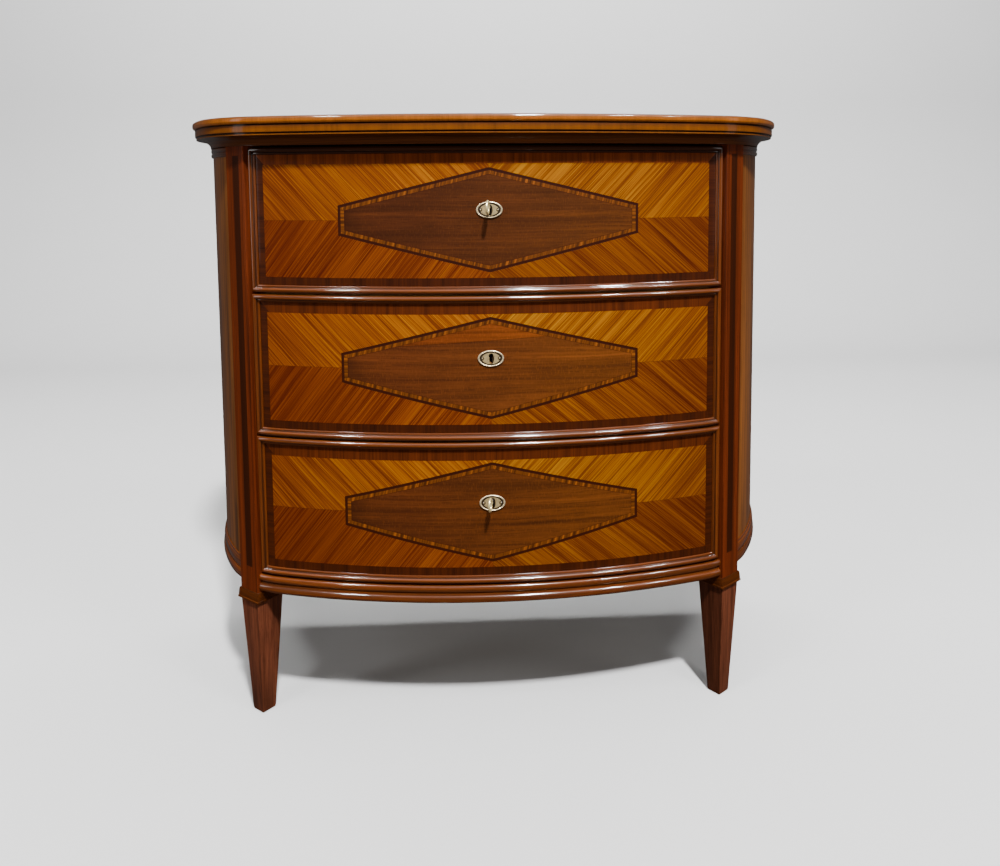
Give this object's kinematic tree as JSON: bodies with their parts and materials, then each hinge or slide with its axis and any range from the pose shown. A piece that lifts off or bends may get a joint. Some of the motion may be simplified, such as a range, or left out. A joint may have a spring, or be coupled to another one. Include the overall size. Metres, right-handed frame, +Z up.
{
  "type": "chest of drawers",
  "caption": "Demilune chest of drawers with a half-round top, bowed marquetry drawer fronts, brass keyhole plates and tapered square legs.",
  "frame": {"origin": "on the floor, under the middle of the bounding box", "axes": "+Z up, front towards -Y, width along X"},
  "size_m": [0.9066, 0.3924, 0.8405],
  "materials": {
    "polished_top": "polished tulipwood veneer",
    "cornice": "polished",
    "carcase": "bare softwood",
    "moulding": "polished",
    "side_veneer": "polished veneer",
    "leg": "polished",
    "front_veneer": "polished tulipwood veneer",
    "lozenge": "polished walnut veneer",
    "keyhole_plate": "aged",
    "drawer_oak": "bare oak",
    "lock_iron": "dark",
    "key_brass": "bright"
  },
  "bodies": {
    "case": {"top_slab": "polished_top", "cornice_moulding": "cornice", "top_frame": "carcase", "divider_upper": "carcase", "divider_lower": "carcase", "bottom_board": "carcase", "back_panel": "carcase", "base_moulding_front": "moulding", "base_moulding_left": "moulding", "base_moulding_right": "moulding", "side_panel_left": "side_veneer", "side_panel_right": "side_veneer", "side_top_moulding_left": "moulding", "side_top_moulding_right": "moulding", "side_bottom_moulding_left": "moulding", "side_bottom_moulding_right": "moulding", "front_leg_left": "leg", "front_leg_right": "leg", "rear_leg_left": "leg", "rear_leg_right": "leg", "front_leg_collar_left": "moulding", "front_leg_collar_right": "moulding", "rear_leg_collar_left": "moulding", "rear_leg_collar_right": "moulding"},
    "drawer_1": {"drawer_1_front": "front_veneer", "drawer_1_moulding": "moulding", "drawer_1_lozenge": "lozenge", "drawer_1_keyhole_plate": "keyhole_plate", "drawer_1_side_left": "drawer_oak", "drawer_1_side_right": "drawer_oak", "drawer_1_back": "drawer_oak", "drawer_1_bottom": "drawer_oak", "drawer_1_lock_case": "lock_iron"},
    "bolt_1": {"drawer_1_lock_bolt": "lock_iron"},
    "key_1": {"drawer_1_key": "key_brass"},
    "drawer_2": {"drawer_2_front": "front_veneer", "drawer_2_moulding": "moulding", "drawer_2_lozenge": "lozenge", "drawer_2_keyhole_plate": "keyhole_plate", "drawer_2_side_left": "drawer_oak", "drawer_2_side_right": "drawer_oak", "drawer_2_back": "drawer_oak", "drawer_2_bottom": "drawer_oak", "drawer_2_lock_case": "lock_iron"},
    "bolt_2": {"drawer_2_lock_bolt": "lock_iron"},
    "drawer_3": {"drawer_3_front": "front_veneer", "drawer_3_moulding": "moulding", "drawer_3_lozenge": "lozenge", "drawer_3_keyhole_plate": "keyhole_plate", "drawer_3_side_left": "drawer_oak", "drawer_3_side_right": "drawer_oak", "drawer_3_back": "drawer_oak", "drawer_3_bottom": "drawer_oak", "drawer_3_lock_case": "lock_iron"},
    "bolt_3": {"drawer_3_lock_bolt": "lock_iron"},
    "key_3": {"drawer_3_key": "key_brass"}
  },
  "joints": [
    {"name": "drawer_1_slide", "type": "slide", "parent": "case", "child": "drawer_1", "axis": [0, -1, 0], "range_m": [0, 0.2]},
    {"name": "bolt_1_slide", "type": "slide", "parent": "drawer_1", "child": "bolt_1", "axis": [0, 0, 1], "range_m": [0, 0.007]},
    {"name": "key_1_turn", "type": "hinge", "parent": "drawer_1", "child": "key_1", "pos_m": [0, -0.1646, 0.7209], "axis": [0, 1, 0], "range_deg": [0, 360]},
    {"name": "drawer_2_slide", "type": "slide", "parent": "case", "child": "drawer_2", "axis": [0, -1, 0], "range_m": [0, 0.2]},
    {"name": "bolt_2_slide", "type": "slide", "parent": "drawer_2", "child": "bolt_2", "axis": [0, 0, 1], "range_m": [0, 0.007]},
    {"name": "drawer_3_slide", "type": "slide", "parent": "case", "child": "drawer_3", "axis": [0, -1, 0], "range_m": [0, 0.2]},
    {"name": "bolt_3_slide", "type": "slide", "parent": "drawer_3", "child": "bolt_3", "axis": [0, 0, 1], "range_m": [0, 0.007]},
    {"name": "key_3_turn", "type": "hinge", "parent": "drawer_3", "child": "key_3", "pos_m": [0, -0.1646, 0.3269], "axis": [0, 1, 0], "range_deg": [0, 360]}
  ],
  "couplings": [
    {"joint": "key_1_turn", "follows": "bolt_1_slide", "rad_per_m": 897.5},
    {"joint": "key_3_turn", "follows": "bolt_3_slide", "rad_per_m": 897.5}
  ]
}
